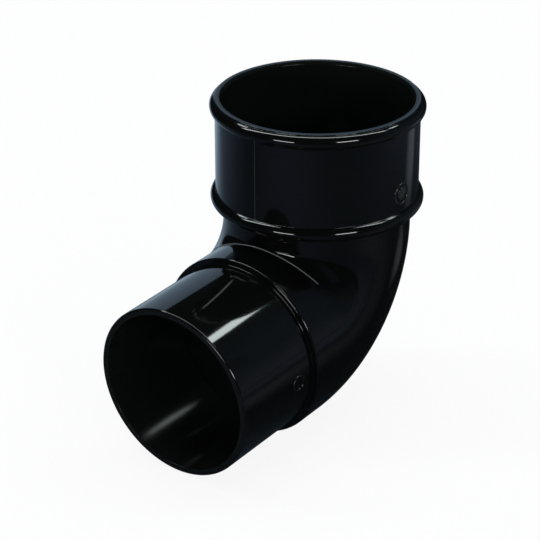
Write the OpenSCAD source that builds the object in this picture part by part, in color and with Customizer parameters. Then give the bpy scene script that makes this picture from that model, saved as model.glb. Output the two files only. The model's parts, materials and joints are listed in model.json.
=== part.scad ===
// Round downpipe bend: one hollow moulding with a beaded socket, a tight-throated elbow and a
// stepped-down spigot. The origin is the centre of the pipe stop, +Z points out of the socket's
// mouth, and the outlet leaves towards +X.

/* [Downpipe] */
// Outside diameter of the round downpipe
pipe_d = 68; // [50:1:110]
// Wall thickness of the downpipe
pipe_wall = 1.9; // [1.2:0.1:3.2]

/* [Moulding] */
// Wall thickness of the bend
wall = 2.4; // [1.6:0.1:3.4]

/* [Socket] */
// Gap all round between the pipe and the socket's bore
socket_gap = 0.3; // [0.1:0.05:0.5]
// Depth of the socket, from its mouth down to the pipe stop
socket_depth = 37.5; // [30:0.5:60]
// How much the mouth opens out on each side to guide the pipe in
lead_in = 0.6; // [0.2:0.1:1]
// Depth of that lead-in
lead_depth = 1.2; // [0.6:0.1:3]

/* [Beads] */
// Height of the rolled bead at the rim and of the one at the socket's base
bead_h = 5.2; // [4:0.1:7]
// How far both beads stand out from the socket's wall
bead_out = 1.9; // [1:0.1:2.4]
// How far the mouth's edge stands above the rim bead
lip = 0.4; // [0.1:0.1:1]

/* [Elbow] */
// Turn of the flow, from the pipe above to the pipe below
turn = 87.5; // [30:0.5:94]
// Radius of the tight inner corner of the bend
throat_r = 0.5; // [0.3:0.1:20]
// Straight neck between the pipe stop and the start of the bend
neck = 9; // [5:0.5:30]
// Straight collar between the end of the bend and the shoulder
collar = 12.1; // [7:0.1:30]
// Witness step, outside and inside, where the collar takes over from the elbow
witness = 0.05; // [0.02:0.01:0.2]

/* [Spigot] */
// Gap all round between the spigot and the bore of the pipe below
spigot_gap = 0.3; // [0.1:0.05:0.5]
// Length of the spigot, from the shoulder to its end
spigot_len = 38.4; // [25:0.1:60]
// Rounding of the spigot's outer end edge
end_round = 0.7; // [0.2:0.1:1]
// Rounding of the shoulder's outer edge
shoulder_round = 0.4; // [0.2:0.1:0.8]

/* [Hidden] */
$fn = 128;
eps = 0.01;
lap = 0.1;

socket_r = pipe_d / 2 + socket_gap;
socket_wall_r = socket_r + wall;
bead_r = bead_h / 2;
bead_centre_r = socket_wall_r + bead_out - bead_r;
rim_bead_z = socket_depth - lip - bead_r;

body_r = pipe_d / 2;
body_bore_r = body_r - wall;
bend_r = body_r + throat_r;

collar_r = body_r + witness;
collar_bore_r = body_bore_r - witness;
spigot_r = pipe_d / 2 - pipe_wall - spigot_gap;
spigot_bore_r = spigot_r - wall;
spigot_end = collar + spigot_len;
bore_step = collar_bore_r - spigot_bore_r;
inner_round = end_round / 2;

// Takes the corner at the origin off a profile that fills the quadrant x < 0, y < 0
module corner_cut(r) {
    difference() {
        translate([-r, -r]) square(r + eps);
        translate([-r, -r]) circle(r);
    }
}

// Socket, beads, pipe stop and neck, as one profile to turn about the pipe's axis
module socket_profile() {
    difference() {
        union() {
            translate([body_bore_r, -neck]) square([wall, neck]);
            translate([body_bore_r, -wall]) square([socket_wall_r - body_bore_r, wall]);
            translate([socket_r, -wall]) square([wall, socket_depth + wall]);
            translate([bead_centre_r, rim_bead_z]) circle(bead_r);
            translate([bead_centre_r, 0]) circle(bead_r);
        }
        square([socket_r, socket_depth + bead_h]);
        polygon([
            [socket_r - eps, socket_depth - lead_depth],
            [socket_r, socket_depth - lead_depth],
            [socket_r + lead_in, socket_depth],
            [socket_r + lead_in, socket_depth + eps],
            [socket_r - eps, socket_depth + eps],
        ]);
    }
}

// Ring-shaped section of the elbow's wall
module elbow_section() {
    difference() {
        circle(body_r);
        circle(body_bore_r);
    }
}

// Collar, shoulder and spigot, as one profile that laps the end of the bend
module outlet_profile() {
    difference() {
        polygon([
            [collar_bore_r, -lap],
            [collar_r, -lap],
            [collar_r, collar],
            [spigot_r, collar],
            [spigot_r, spigot_end],
            [spigot_bore_r, spigot_end],
            [spigot_bore_r, collar - wall],
            [collar_bore_r, collar - wall - bore_step],
        ]);
        translate([collar_r, collar]) corner_cut(shoulder_round);
        translate([spigot_r, spigot_end]) corner_cut(end_round);
        translate([spigot_bore_r, spigot_end]) mirror([1, 0]) corner_cut(inner_round);
    }
}

// Places a child, drawn about +Z from the origin, on the outlet's axis where the bend ends
module at_outlet() {
    translate([bend_r, 0, -neck])
        rotate([0, -turn, 0])
            translate([-bend_r, 0, 0])
                rotate([180, 0, 0])
                    children();
}

module downpipe_bend() {
    color("#17191b") {
        rotate_extrude() socket_profile();
        translate([bend_r, 0, -neck])
            rotate([-90, 0, 180])
                rotate_extrude(angle = turn)
                    translate([bend_r, 0]) elbow_section();
        at_outlet() rotate_extrude() outlet_profile();
    }
}

downpipe_bend();
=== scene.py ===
import json
import math

import bmesh
import bpy
from mathutils import Matrix, Vector


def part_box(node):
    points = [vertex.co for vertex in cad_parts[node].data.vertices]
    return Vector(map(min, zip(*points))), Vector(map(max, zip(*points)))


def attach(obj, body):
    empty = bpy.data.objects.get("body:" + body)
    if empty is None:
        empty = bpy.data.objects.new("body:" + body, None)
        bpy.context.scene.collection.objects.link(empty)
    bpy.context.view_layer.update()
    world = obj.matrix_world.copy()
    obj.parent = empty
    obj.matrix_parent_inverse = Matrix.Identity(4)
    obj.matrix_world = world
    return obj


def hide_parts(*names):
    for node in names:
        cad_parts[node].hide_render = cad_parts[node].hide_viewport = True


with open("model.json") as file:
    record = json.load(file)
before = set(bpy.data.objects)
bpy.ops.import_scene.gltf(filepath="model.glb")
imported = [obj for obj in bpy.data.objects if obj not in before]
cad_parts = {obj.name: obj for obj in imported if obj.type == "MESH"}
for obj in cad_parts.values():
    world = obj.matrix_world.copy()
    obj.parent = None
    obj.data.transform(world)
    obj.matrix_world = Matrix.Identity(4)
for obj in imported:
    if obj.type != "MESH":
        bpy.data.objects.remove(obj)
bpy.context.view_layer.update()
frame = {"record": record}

# Sizes that the frame gives, in metres
mounts = {mount["name"]: mount for mount in frame["record"]["mounts"]}
SOCKET_R = mounts["socket"]["dims"]["r_mm"] / 1000
SPIGOT_R = mounts["spigot"]["dims"]["r_mm"] / 1000
OUTLET_WAY = Vector(mounts["spigot"]["axis"]).normalized()
TURN = Vector((0, 0, -1)).angle(OUTLET_WAY)
MOUTH_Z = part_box("downpipe_bend")[1].z
BEAD_OUT_R = -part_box("downpipe_bend")[0].x
FLOOR_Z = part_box("downpipe_bend")[0].z

# Driving sizes of the moulding, in metres
WALL = 0.0024
BODY_R = 0.034
BEND_R = 0.0345
NECK = 0.009
COLLAR = 0.0121
SPIGOT_LENGTH = 0.0384
LEAD_IN = 0.0006
LEAD_DEPTH = 0.0012
BEAD_R = 0.0026
LIP = 0.0004

SOCKET_WALL_R = SOCKET_R + WALL
BEAD_CENTRE_R = BEAD_OUT_R - BEAD_R
BODY_BORE_R = BODY_R - WALL
SPIGOT_BORE_R = SPIGOT_R - WALL
SPIGOT_END = COLLAR + SPIGOT_LENGTH

# How far the corners are rounded, in metres
NECK_ROUND = 0.0005
BEAD_EDGE_ROUND = 0.00018
RIM_BEAD_ROUND = 0.00015
MOUTH_ROUND = 0.0002
STOP_FOOT_ROUND = 0.0003
STOP_EDGE_ROUND = 0.0004
SHOULDER_ROUND = 0.0006
SHOULDER_FOOT_ROUND = 0.0003
SPIGOT_RIM_ROUND = 0.0007
SPIGOT_BORE_ROUND = 0.00035
CONE_ROUND = 0.0008

# Puts what is drawn along +Z from the origin at the end of the bend, along the outlet
OUTLET_PLACE = (
    Matrix.Translation((BEND_R, 0, -NECK))
    @ Matrix.Rotation(-TURN, 4, "Y")
    @ Matrix.Translation((-BEND_R, 0, 0))
    @ Matrix.Rotation(math.pi, 4, "X"))

# The fold line: where it lies along the bend, how far it goes to each side, its thickness, how far
# its middle stands above the skin, as a part of its thickness, and how pale it is painted, as a highlight
FOLD_AT = math.radians(67)
FOLD_SPREAD = math.radians(43)
FOLD_R = 0.00016
FOLD_PROUD = 0.2
FOLD_HIGHLIGHT = 1

# The parting line with the pale of its painted highlight, and what tells its points and its long edges
# from the rest of the socket's wall
PARTING_WIDTH = 0.00016
PARTING_DEPTH = 0.00002
PARTING_HIGHLIGHT = 0.22
ON_MIDDLE = 1e-7
ON_WALL = 0.00015
LONG_EDGE = 0.01

# The round marks: the inner and outer radius of each ring, the place on the wall, height, and how pale
# a painted highlight makes them
SOCKET_MARK_RINGS = ((0.0036, 0.0042), (0.0, 0.0023))
SOCKET_MARK_TURN = math.radians(90)
SOCKET_MARK_Z = 0.0095
SOCKET_MARK_HIGH = 0.0003
SOCKET_MARK_HIGHLIGHT = 0.08
SPIGOT_MARK_RINGS = ((0.0024, 0.003),)
SPIGOT_MARK_TURN = math.radians(-90)
SPIGOT_MARK_Z = 0.0205
SPIGOT_MARK_HIGH = 0.00025
SPIGOT_MARK_HIGHLIGHT = 0.02

# Steps round the tube, along the bend, round a bead, round a mark, round and along the fold line, and
# round a corner
ROUND_STEPS = 240
BEND_STEPS = 72
BEAD_STEPS = 28
MARK_STEPS = 48
FOLD_ROUND_STEPS = 10
FOLD_STEPS = 60
CORNER_STEPS = 4

# Points closer than this are one
SAME_PLACE = 1e-6

# The plastic: its blacks, with the bore's black painted lighter to lift the shade inside it, the pale of
# the painted highlight on its fine lines and marks, its roughness, and the relief of its skin
OUTSIDE_BLACK = (0.002, 0.0023, 0.0022, 1)
BORE_BLACK_PAINTED_LIGHTER = (0.0045, 0.006, 0.0055, 1)
PAINTED_LINE_HIGHLIGHT = (0.16, 0.17, 0.175, 1)
OUTSIDE_ROUGHNESS = 0.045
OUTSIDE_HANDLING = 0.05
LINE_ROUGHNESS = 0.3
BORE_ROUGHNESS = 0.11
BORE_HANDLING = 0.06
OUTSIDE_REFLECTION = 0.5
BORE_REFLECTION = 0.1
SWELL_HIGH = 0.000012
PEEL_HIGH = 0.0000004

# A Mix node's sockets for colours come after those for numbers and vectors
MIX_A = 6
MIX_B = 7
MIX_RESULT = 2

# The studio, in metres and linear colours
ROOM_R = 5.0
TABLE_Z = FLOOR_Z + 0.0004
WORLD_LEVEL = 0.35
FLOOR_MATT = (0.85, 0.85, 0.85, 1)
FLOOR_GLOW = 0.9
LAMPS_AWAY = 2.5
LAMPS_AIM = Vector((0.02, 0, -0.02))
RIGHT_LAMP_TURN = 67.6
RIGHT_LAMP_RISE = 20

# What the gloss mirrors on the walls: azimuth, elevation, inner and outer radius of a soft spot, colour
DIM_WALL = (0.01, 0.013, 0.015, 1)
WALL_GLOWS = (
    (140, 5, 0.35, 0.95, (0.05, 0.065, 0.09, 1)),
    (131, -1, 0.0, 0.3, (0.05, 0.05, 0.065, 1)))

# What the gloss mirrors on the table: x, y, half length, half width, softness and turn, then colour
DIM_TABLE = (0.008, 0.01, 0.012, 1)
LIT_TABLE = (0.1, 0.1, 0.6, 0.6, 0.08, 0)
LIT_TABLE_COLOUR = (0.03, 0.042, 0.06, 1)
# A painted shadow of the bend, cut out of the lit patch of the mirrored table
BEND_SHADOW_ON_TABLE = (-0.08, 0.06, 0.16, 0.13, 0.5, 0)
TABLE_GLOWS = (
    (-0.5, 0.6, 0.55, 0.45, 0.3, 130, (0.06, 0.065, 0.09, 1)),  # on the right
    (-2.19, 2.6, 2.4, 1.3, 0.12, 130, (0.09, 0.1, 0.135, 1)),  # far on the right
    (-0.87, -1.04, 1.2, 0.28, 0.12, 48.7, (0.36, 0.47, 0.56, 1)),  # before the backdrop
    (-0.12, 0.07, 0.03, 0.018, 0.5, 0, (0.13, 0.14, 0.15, 1)),  # close behind, on the right
    (-0.05, -0.31, 0.2, 0.14, 0.8, 0, (0.1, 0.14, 0.2, 1)),  # behind, on the left
    (0.27, 0.03, 0.12, 0.12, 0.9, 0, (0.06, 0.05, 0.09, 1)),  # in front of the spigot
    (-0.26, 0.1, 0.08, 0.035, 0.5, 0, (0.22, 0.25, 0.28, 1)),  # further behind, on the right
    (-0.02, 0.14, 0.05, 0.04, 0.9, 0, (0.1, 0.1, 0.12, 1)))  # close to the right side

# The camera, as fitted to the photograph, in metres, degrees, pixels, and millimetres for its sensor.
# The middle of the socket's mouth falls on the mouth pixel
CAMERA_DISTANCE = 0.7062
CAMERA_TURN = 37.37
CAMERA_RISE = 26.49
CAMERA_ROLL = -0.13
PICTURE_SIZE = 540
FOCAL_PIXELS = 1994.56
MOUTH_PIXEL = (317.73, 95.44)
SENSOR = 36.0
NEAREST_SEEN = 0.01


class Outline:
    """A chain of edges in the XZ plane, drawn from point to point, to be spun into a wall."""

    def __init__(self, x, z):
        self.bm = bmesh.new()
        self.mark = self.bm.verts.layers.int.new("outside")
        self.tip = self.bm.verts.new((x, 0, z))
        self.tip[self.mark] = 1
        self.corners = []

    def line(self, x, z, round_by=0.0, outside=None):
        """Goes straight to a point, whose corner is rounded later where round_by is given."""
        self.tip = bmesh.ops.extrude_vert_indiv(self.bm, verts=[self.tip])["verts"][0]
        self.tip.co = (x, 0, z)
        if outside is not None:
            self.tip[self.mark] = outside
        self.corner(round_by)

    def arc(self, x, z, angle, steps, round_by=0.0):
        """Goes round a centre by an angle, counted from +X up towards +Z."""
        swept = bmesh.ops.spin(
            self.bm, geom=[self.tip], cent=(x, 0, z), axis=(0, -1, 0), angle=angle, steps=steps,
            use_duplicate=False)
        self.tip = next(g for g in swept["geom_last"] if isinstance(g, bmesh.types.BMVert))
        self.corner(round_by)

    def corner(self, round_by):
        if round_by:
            self.corners.append((self.tip, round_by))

    def turned(self, steps=ROUND_STEPS):
        """Rounds the corners, spins the outline into a full wall about the Z axis and returns it."""
        for corner, size in self.corners:
            bmesh.ops.bevel(
                self.bm, geom=[corner], offset=size, offset_type="OFFSET", segments=CORNER_STEPS,
                profile=0.5, affect="VERTICES", material=-1)
        bmesh.ops.spin(
            self.bm, geom=self.bm.verts[:] + self.bm.edges[:], cent=(0, 0, 0), axis=(0, 0, 1),
            angle=math.tau, steps=steps, use_merge=True, use_duplicate=False)
        return self.bm


def joined(parts):
    """One bmesh made of several, which are freed, with points that share a place merged."""
    bm = bmesh.new()
    bm.verts.layers.int.new("outside")
    bm.verts.layers.float.new("flash_and_highlight")
    mesh = bpy.data.meshes.new("joined")
    for part in parts:
        part.to_mesh(mesh)
        part.free()
        bm.from_mesh(mesh)
    bpy.data.meshes.remove(mesh)
    bmesh.ops.remove_doubles(bm, verts=bm.verts, dist=SAME_PLACE)
    return bm


def socket_wall():
    """Neck, beads, socket and pipe stop, drawn up the outside and back down the inside."""
    reach = math.acos((SOCKET_WALL_R - BEAD_CENTRE_R) / BEAD_R)
    rise = BEAD_R * math.sin(reach)
    rim_z = MOUTH_Z - LIP - BEAD_R
    line = Outline(BODY_R, -NECK)
    line.line(BODY_R, -BEAD_R, NECK_ROUND)
    line.line(BEAD_CENTRE_R, -BEAD_R)
    line.arc(BEAD_CENTRE_R, 0, math.pi / 2 + reach, BEAD_STEPS, BEAD_EDGE_ROUND)
    line.line(SOCKET_WALL_R, rim_z - rise, BEAD_EDGE_ROUND)
    line.arc(BEAD_CENTRE_R, rim_z, 2 * reach, BEAD_STEPS, RIM_BEAD_ROUND)
    line.line(SOCKET_WALL_R, MOUTH_Z, MOUTH_ROUND)
    line.line(SOCKET_R + LEAD_IN, MOUTH_Z, MOUTH_ROUND, outside=0)
    line.line(SOCKET_R, MOUTH_Z - LEAD_DEPTH, MOUTH_ROUND)
    line.line(SOCKET_R, 0, STOP_FOOT_ROUND)
    line.line(BODY_BORE_R, 0, STOP_EDGE_ROUND)
    line.line(BODY_BORE_R, -NECK)
    return line.turned()


def elbow_skin(radius, outside):
    """One skin of the elbow: a ring swept about the bend's centre."""
    bm = bmesh.new()
    mark = bm.verts.layers.int.new("outside")
    bmesh.ops.create_circle(
        bm, cap_ends=False, segments=ROUND_STEPS, radius=radius,
        matrix=Matrix.Translation((0, 0, -NECK)))
    for v in bm.verts:
        v[mark] = outside
    bmesh.ops.spin(
        bm, geom=bm.verts[:] + bm.edges[:], cent=(BEND_R, 0, -NECK), axis=(0, -1, 0), angle=TURN,
        steps=BEND_STEPS, use_duplicate=False)
    return bm


def outlet_wall():
    """Collar, shoulder and spigot, drawn along +Z from the end of the bend and then put in place."""
    cone_z = COLLAR - WALL
    line = Outline(BODY_R, 0)
    line.line(BODY_R, COLLAR, SHOULDER_ROUND)
    line.line(SPIGOT_R, COLLAR, SHOULDER_FOOT_ROUND)
    line.line(SPIGOT_R, SPIGOT_END, SPIGOT_RIM_ROUND)
    line.line(SPIGOT_BORE_R, SPIGOT_END, SPIGOT_BORE_ROUND, outside=0)
    line.line(SPIGOT_BORE_R, cone_z, CONE_ROUND)
    line.line(BODY_BORE_R, cone_z - (BODY_BORE_R - SPIGOT_BORE_R), CONE_ROUND)
    line.line(BODY_BORE_R, 0)
    bm = line.turned()
    bmesh.ops.transform(bm, matrix=OUTLET_PLACE, verts=bm.verts)
    return bm


def score_parting_line(bm):
    """The fine line that the two halves of the mould leave down the front and back of the socket, painted
    pale as a highlight.
    """
    outside = bm.verts.layers.int["outside"]
    flash_and_highlight = bm.verts.layers.float["flash_and_highlight"]

    def on_line(v):
        return v[outside] and abs(v.co.y) < ON_MIDDLE and abs(abs(v.co.x) - SOCKET_WALL_R) < ON_WALL

    seam = [e for e in bm.edges if e.calc_length() > LONG_EDGE and all(on_line(v) for v in e.verts)]
    bmesh.ops.bevel(
        bm, geom=seam, offset=PARTING_WIDTH, offset_type="OFFSET", segments=2, profile=0.5,
        affect="EDGES", material=-1, clamp_overlap=True)
    bm.normal_update()
    for v in bm.verts:
        # A painted highlight along the line's middle, which is also sunk a little
        if on_line(v) and v.co.z > 0:
            v[flash_and_highlight] = PARTING_HIGHLIGHT
            v.co -= v.normal * PARTING_DEPTH


def fold_line():
    """The fine raised line that runs across the throat of the bend, painted pale as a highlight."""
    bm = bmesh.new()
    mark = bm.verts.layers.int.new("outside")
    flash_and_highlight = bm.verts.layers.float.new("flash_and_highlight")
    inward = Vector((math.cos(FOLD_AT), 0, math.sin(FOLD_AT)))
    onward = Vector((math.sin(FOLD_AT), 0, -math.cos(FOLD_AT)))
    centre = Vector((BEND_R, 0, -NECK)) - inward * BEND_R
    reach = BODY_R + FOLD_R * FOLD_PROUD
    bmesh.ops.create_circle(
        bm, cap_ends=False, segments=FOLD_ROUND_STEPS, radius=FOLD_R,
        matrix=Matrix.Translation(centre + inward * reach)
        @ Matrix((inward, onward, inward.cross(onward))).transposed().to_4x4())
    bmesh.ops.rotate(
        bm, verts=bm.verts, cent=centre, matrix=Matrix.Rotation(-FOLD_SPREAD, 3, onward))
    bmesh.ops.spin(
        bm, geom=bm.verts[:] + bm.edges[:], cent=centre, axis=onward, angle=2 * FOLD_SPREAD,
        steps=FOLD_STEPS, use_duplicate=False)
    bmesh.ops.holes_fill(bm, edges=bm.edges, sides=FOLD_ROUND_STEPS)
    # The whole line is painted pale, as a highlight
    for v in bm.verts:
        v[mark] = 1
        v[flash_and_highlight] = FOLD_HIGHLIGHT
    return bm


def round_mark(rings, wall_r, turn, z, high, mark_highlight):
    """Low plain rings on a cylinder's wall about Z: each goes from an inner to an outer radius."""
    parts = []
    for inner, outer in rings:
        line = Outline(inner, -high)
        line.line(inner + high * 0.5, high)
        line.line(outer - high * 0.5, high)
        line.line(outer, -high)
        line.line(inner, -high)
        parts.append(line.turned(MARK_STEPS))
    bm = joined(parts)
    mark = bm.verts.layers.int["outside"]
    flash_and_highlight = bm.verts.layers.float["flash_and_highlight"]
    # The rings are painted pale, as a highlight
    for v in bm.verts:
        v[mark] = 1
        v[flash_and_highlight] = mark_highlight
        angle = turn + v.co.x / wall_r
        reach = wall_r + v.co.z
        v.co = (reach * math.cos(angle), reach * math.sin(angle), z + v.co.y)
    return bm


def moulding():
    """The whole bend: its walls closed into one skin, with its fine lines and marks."""
    socket_mark = round_mark(
        SOCKET_MARK_RINGS, SOCKET_WALL_R, SOCKET_MARK_TURN, SOCKET_MARK_Z, SOCKET_MARK_HIGH,
        SOCKET_MARK_HIGHLIGHT)
    spigot_mark = round_mark(
        SPIGOT_MARK_RINGS, SPIGOT_R, SPIGOT_MARK_TURN, SPIGOT_MARK_Z, SPIGOT_MARK_HIGH,
        SPIGOT_MARK_HIGHLIGHT)
    bmesh.ops.transform(spigot_mark, matrix=OUTLET_PLACE, verts=spigot_mark.verts)
    bm = joined((
        socket_wall(), elbow_skin(BODY_R, 1), elbow_skin(BODY_BORE_R, 0), outlet_wall(), fold_line(),
        socket_mark, spigot_mark))
    bmesh.ops.recalc_face_normals(bm, faces=bm.faces)
    score_parting_line(bm)
    outside = bm.verts.layers.int["outside"]
    bore = bm.verts.layers.float.new("bore")
    for v in bm.verts:
        v[bore] = 1 - v[outside]
    for face in bm.faces:
        face.smooth = True
    mesh = bpy.data.meshes.new("gloss_moulding")
    bm.to_mesh(mesh)
    bm.free()
    piece = bpy.data.objects.new("gloss_moulding", mesh)
    bpy.context.scene.collection.objects.link(piece)
    weights = piece.modifiers.new("flat_faces_first", "WEIGHTED_NORMAL")
    weights.keep_sharp = True
    return piece


class Wire:
    """A shader socket. Arithmetic on wires adds Math nodes, and node() adds any other node."""

    def __init__(self, tree, socket=None):
        self.tree = tree
        self.socket = socket

    def node(self, kind, settings, sockets, output=0):
        made = self.tree.nodes.new(kind)
        for name, value in settings.items():
            setattr(made, name, value)
        for name, value in sockets.items():
            if isinstance(value, Wire):
                self.tree.links.new(value.socket, made.inputs[name])
            else:
                made.inputs[name].default_value = value
        return Wire(self.tree, made.outputs[output]) if made.outputs else None

    def math(self, operation, first, second):
        return self.node("ShaderNodeMath", {"operation": operation}, {0: first, 1: second})

    def __add__(self, other):
        return self.math("ADD", self, other)

    def __radd__(self, other):
        return self.math("ADD", other, self)

    def __sub__(self, other):
        return self.math("SUBTRACT", self, other)

    def __rsub__(self, other):
        return self.math("SUBTRACT", other, self)

    def __mul__(self, other):
        return self.math("MULTIPLY", self, other)

    def __rmul__(self, other):
        return self.math("MULTIPLY", other, self)


def new_material(name):
    """An empty node material, and the wire that its nodes are added with."""
    material = bpy.data.materials.new(name)
    material.use_nodes = True
    material.node_tree.nodes.clear()
    return material, Wire(material.node_tree)


def blended(start, blend, factor, first, second):
    """A Mix node on colours."""
    return start.node(
        "ShaderNodeMix", {"data_type": "RGBA", "blend_type": blend, "clamp_result": False},
        {"Factor": factor, MIX_A: first, MIX_B: second}, MIX_RESULT)


def noise(start, place, scale, detail, roughness):
    return start.node(
        "ShaderNodeTexNoise", {},
        {"Vector": place, "Scale": scale, "Detail": detail, "Roughness": roughness})


def plastic(start, colour, roughness, reflection, normal):
    return start.node(
        "ShaderNodeBsdfPrincipled", {},
        {"Base Color": colour, "Roughness": roughness, "IOR": 1.5, "Specular IOR Level": reflection,
         "Normal": normal})


def gloss_black():
    """Polished black plastic with the faint swell of a moulding, duller in the bore and painted lighter
    there to lift its shade, with painted highlights on its fine lines and marks.
    """
    material, start = new_material("gloss_black")
    place = start.node("ShaderNodeTexCoord", {}, {}, "Object")
    bore = start.node("ShaderNodeAttribute", {"attribute_name": "bore"}, {}, "Fac")
    flash_and_highlight = start.node("ShaderNodeAttribute", {"attribute_name": "flash_and_highlight"}, {}, "Fac")
    swell = noise(start, place, scale=60.0, detail=1.0, roughness=0.4)
    peel = noise(start, place, scale=700.0, detail=2.0, roughness=0.5)
    handling = noise(start, place, scale=35.0, detail=4.0, roughness=0.6)
    height = swell * SWELL_HIGH + peel * PEEL_HIGH
    normal = start.node(
        "ShaderNodeBump", {}, {"Height": height, "Strength": 1.0, "Distance": 1.0}, "Normal")
    # Paler along the fine lines and marks: a painted highlight
    colour = blended(start, "MIX", flash_and_highlight, OUTSIDE_BLACK, PAINTED_LINE_HIGHLIGHT)
    polish = handling * OUTSIDE_HANDLING + OUTSIDE_ROUGHNESS + flash_and_highlight * LINE_ROUGHNESS
    outside = plastic(start, colour, polish, OUTSIDE_REFLECTION, normal)
    # The bore's black is painted lighter to lift the shade inside it
    inside = plastic(
        start, BORE_BLACK_PAINTED_LIGHTER, handling * BORE_HANDLING + BORE_ROUGHNESS, BORE_REFLECTION, normal)
    surface = start.node("ShaderNodeMixShader", {}, {0: bore, 1: outside, 2: inside})
    start.node("ShaderNodeOutputMaterial", {}, {"Surface": surface})
    return material


def way(turn, rise):
    """The direction at an azimuth and an elevation in degrees."""
    turn, rise = math.radians(turn), math.radians(rise)
    return Vector((math.cos(turn) * math.cos(rise), math.sin(turn) * math.cos(rise), math.sin(rise)))


def facing(turn, rise, away, aim, tilt=0.0):
    """A place that faces its aim from an azimuth and an elevation, tilted about that line, in degrees."""
    back = way(turn, rise)
    side = way(turn + 90, 0)
    up = back.cross(side)
    tilt = math.radians(tilt)
    across = side * math.cos(tilt) + up * math.sin(tilt)
    return (
        Matrix.Translation(back * away + aim)
        @ Matrix((across, back.cross(across), back)).transposed().to_4x4())


def camera():
    """Puts the middle of the socket's mouth where the photograph has it."""
    across, down = ((pixel - PICTURE_SIZE / 2) / FOCAL_PIXELS * CAMERA_DISTANCE for pixel in MOUTH_PIXEL)
    data = bpy.data.cameras.new("camera")
    data.sensor_width = SENSOR
    data.lens = FOCAL_PIXELS / PICTURE_SIZE * SENSOR
    data.clip_start = NEAREST_SEEN
    piece = bpy.data.objects.new("camera", data)
    piece.matrix_world = (
        facing(CAMERA_TURN, CAMERA_RISE, CAMERA_DISTANCE, Vector((0, 0, MOUTH_Z)), CAMERA_ROLL)
        @ Matrix.Translation((-across, down, 0)))
    bpy.context.scene.collection.objects.link(piece)
    bpy.context.scene.camera = piece


def softbox(name, turn, rise, wide, high, level, colour=(1, 1, 1), tilt=0.0):
    """A flat lamp that faces the bend, with its width and height in degrees and a level glow."""
    data = bpy.data.lights.new(name, "AREA")
    data.shape = "RECTANGLE"
    data.size = 2 * LAMPS_AWAY * math.tan(math.radians(wide / 2))
    data.size_y = 2 * LAMPS_AWAY * math.tan(math.radians(high / 2))
    data.color = colour
    data.energy = level * math.pi * data.size * data.size_y
    lamp = bpy.data.objects.new(name, data)
    lamp.matrix_world = facing(turn, rise, LAMPS_AWAY, LAMPS_AIM, tilt)
    lamp.visible_camera = False
    bpy.context.scene.collection.objects.link(lamp)


def seen_in_gloss(start):
    """1 where the camera, a gloss or a glass looks, and 0 for the light on matt surfaces."""
    seen = start.node("ShaderNodeLightPath", {}, {}, "Is Camera Ray")
    glossy = start.node("ShaderNodeLightPath", {}, {}, "Is Glossy Ray")
    through = start.node("ShaderNodeLightPath", {}, {}, "Is Transmission Ray")
    return start.math("MINIMUM", seen + glossy + through, 1.0)


def studio_world():
    """White where the camera, a gloss or a glass looks at it, and a plain pale light elsewhere."""
    world = bpy.data.worlds.new("studio")
    bpy.context.scene.world = world
    world.use_nodes = True
    world.node_tree.nodes.clear()
    start = Wire(world.node_tree)
    level = seen_in_gloss(start) * (1 - WORLD_LEVEL) + WORLD_LEVEL
    light = start.node("ShaderNodeBackground", {}, {"Color": (1, 1, 1, 1), "Strength": level})
    start.node("ShaderNodeOutputWorld", {}, {"Surface": light})


def staged(name, bm, material, only_in_gloss):
    """A piece of the studio, which isn't part of the bend."""
    mesh = bpy.data.meshes.new(name)
    bm.to_mesh(mesh)
    bm.free()
    mesh.materials.append(material)
    piece = bpy.data.objects.new(name, mesh)
    bpy.context.scene.collection.objects.link(piece)
    if only_in_gloss:
        piece.visible_camera = False
        piece.visible_diffuse = False
        piece.visible_transmission = False
        piece.visible_volume_scatter = False
        piece.visible_shadow = False
    return piece


def square(half_side, place):
    bm = bmesh.new()
    bmesh.ops.create_grid(bm, x_segments=1, y_segments=1, size=half_side, matrix=place)
    return bm


def floor():
    """The white floor, which takes the bend's shadow."""
    material, start = new_material("pale_floor")
    white = seen_in_gloss(start)
    matt = start.node("ShaderNodeBsdfDiffuse", {}, {"Color": FLOOR_MATT})
    glow = start.node("ShaderNodeEmission", {}, {"Color": (1, 1, 1, 1), "Strength": 1.0})
    both = start.node("ShaderNodeMixShader", {}, {0: white * FLOOR_GLOW, 1: matt, 2: glow})
    start.node("ShaderNodeOutputMaterial", {}, {"Surface": both})
    staged("floor", square(ROOM_R, Matrix.Translation((0, 0, FLOOR_Z))), material, only_in_gloss=False)


def smooth(start, value, low, high):
    """Rises smoothly from 0 at the low value to 1 at the high one."""
    return start.node(
        "ShaderNodeMapRange", {"interpolation_type": "SMOOTHSTEP"},
        {"Value": value, "From Min": low, "From Max": high, "To Min": 0.0, "To Max": 1.0})


def spot(start, place, centre, inner, outer):
    """A round patch: 1 inside the inner radius, falling smoothly to 0 at the outer one."""
    away = start.node(
        "ShaderNodeVectorMath", {"operation": "DISTANCE"}, {0: place, 1: tuple(centre)}, "Value")
    return 1 - smooth(start, away, inner, outer)


def oval(start, place, x, y, long, wide, soft, turn):
    """An oval patch on the table, with its half lengths and how softly it ends."""
    local = start.node(
        "ShaderNodeMapping", {"vector_type": "TEXTURE"},
        {"Vector": place, "Location": (x, y, TABLE_Z), "Rotation": (0, 0, math.radians(turn)),
         "Scale": (long, wide, 1)}, "Vector")
    away = start.node("ShaderNodeVectorMath", {"operation": "LENGTH"}, {0: local}, "Value")
    return 1 - smooth(start, away, 1 - soft, 1 + soft)


def glow_of(start, patches, base):
    """Adds coloured patches to a base colour and gives the emission."""
    total = base
    for mask, colour in patches:
        total = blended(start, "ADD", mask, total, colour)
    shine = start.node("ShaderNodeEmission", {}, {"Color": total, "Strength": 1.0})
    start.node("ShaderNodeOutputMaterial", {}, {"Surface": shine})


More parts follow.
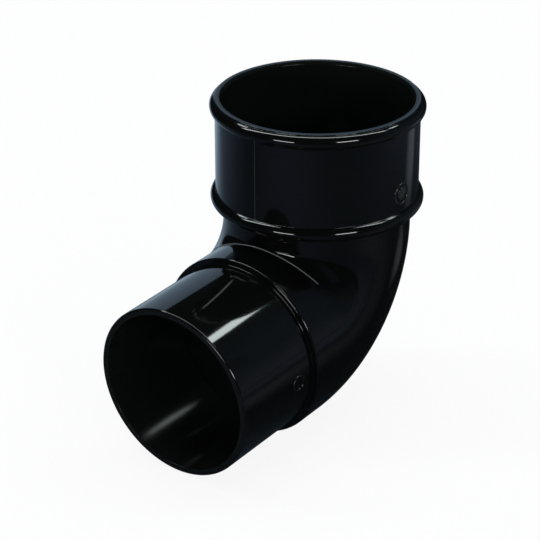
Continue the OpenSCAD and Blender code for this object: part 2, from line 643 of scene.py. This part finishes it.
def dim_walls():
    """The dim room that the gloss mirrors."""
    material, start = new_material("dim_walls")
    place = start.node("ShaderNodeTexCoord", {}, {}, "Object")
    unit = start.node("ShaderNodeVectorMath", {"operation": "NORMALIZE"}, {0: place}, "Vector")
    glow_of(start, [
        (spot(start, unit, way(turn, rise), inner, outer), colour)
        for turn, rise, inner, outer, colour in WALL_GLOWS], DIM_WALL)
    bm = bmesh.new()
    bmesh.ops.create_uvsphere(bm, u_segments=64, v_segments=32, radius=ROOM_R)
    staged("dim_walls", bm, material, only_in_gloss=True)


def dim_table():
    """The dim table top that the gloss mirrors in place of the white floor, with a painted shadow under the
    bend.
    """
    material, start = new_material("dim_table")
    place = start.node("ShaderNodeTexCoord", {}, {}, "Object")
    lit = oval(start, place, *LIT_TABLE) * (1 - oval(start, place, *BEND_SHADOW_ON_TABLE))
    patches = [(oval(start, place, *shape), colour) for *shape, colour in TABLE_GLOWS]
    glow_of(start, [(lit, LIT_TABLE_COLOUR)] + patches, DIM_TABLE)
    staged("dim_table", square(ROOM_R, Matrix.Translation((0, 0, TABLE_Z))), material, only_in_gloss=True)


def card(name, place, half_width, half_height, colour):
    """A flat card of one glow, which only the gloss mirrors."""
    material, start = new_material(name)
    glow_of(start, [], colour)
    shape = place @ Matrix.Diagonal((half_width, half_height, 1.0, 1.0))
    return staged(name, square(1.0, shape), material, only_in_gloss=True)


def pale_backdrop():
    """The pale card that stands behind the bend and ends a little above it."""
    place = facing(turn=-137, rise=3, away=2.5, aim=Vector((0, 0, 0)))
    card("pale_backdrop", place, half_width=0.58, half_height=1.14, colour=(0.32, 0.44, 0.58, 1))


def dark_flag():
    """A small dark card that keeps the front right lamp out of the hollow between neck and collar."""
    place = facing(RIGHT_LAMP_TURN, RIGHT_LAMP_RISE, away=0.075, aim=LAMPS_AIM)
    shifted = place @ Matrix.Translation((0.0035, -0.0045, 0))
    flag = card("dark_flag", shifted, half_width=0.018, half_height=0.007, colour=(0.04, 0.05, 0.07, 1))
    flag.visible_shadow = True


camera()
studio_world()
floor()
dim_walls()
dim_table()
pale_backdrop()
dark_flag()
softbox("overhead_strip", 243.7, 78.9, wide=90, high=8, level=10, colour=(0.92, 1, 1), tilt=-26.3)
softbox("front_left_box", 2.2, 8, wide=21, high=7, level=14)
softbox("front_right_box", RIGHT_LAMP_TURN, RIGHT_LAMP_RISE, wide=21, high=8, level=14)
softbox("left_lamp", -98, 49, wide=12, high=6, level=7.5, colour=(0.92, 1, 1))
softbox("back_lamp", 160, 48, wide=9, high=5, level=11.5, colour=(0.88, 1, 0.98), tilt=-20)

bend = moulding()
bend.data.materials.append(gloss_black())
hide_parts("downpipe_bend")
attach(bend, "root")

bpy.context.scene.view_settings.view_transform = "Standard"
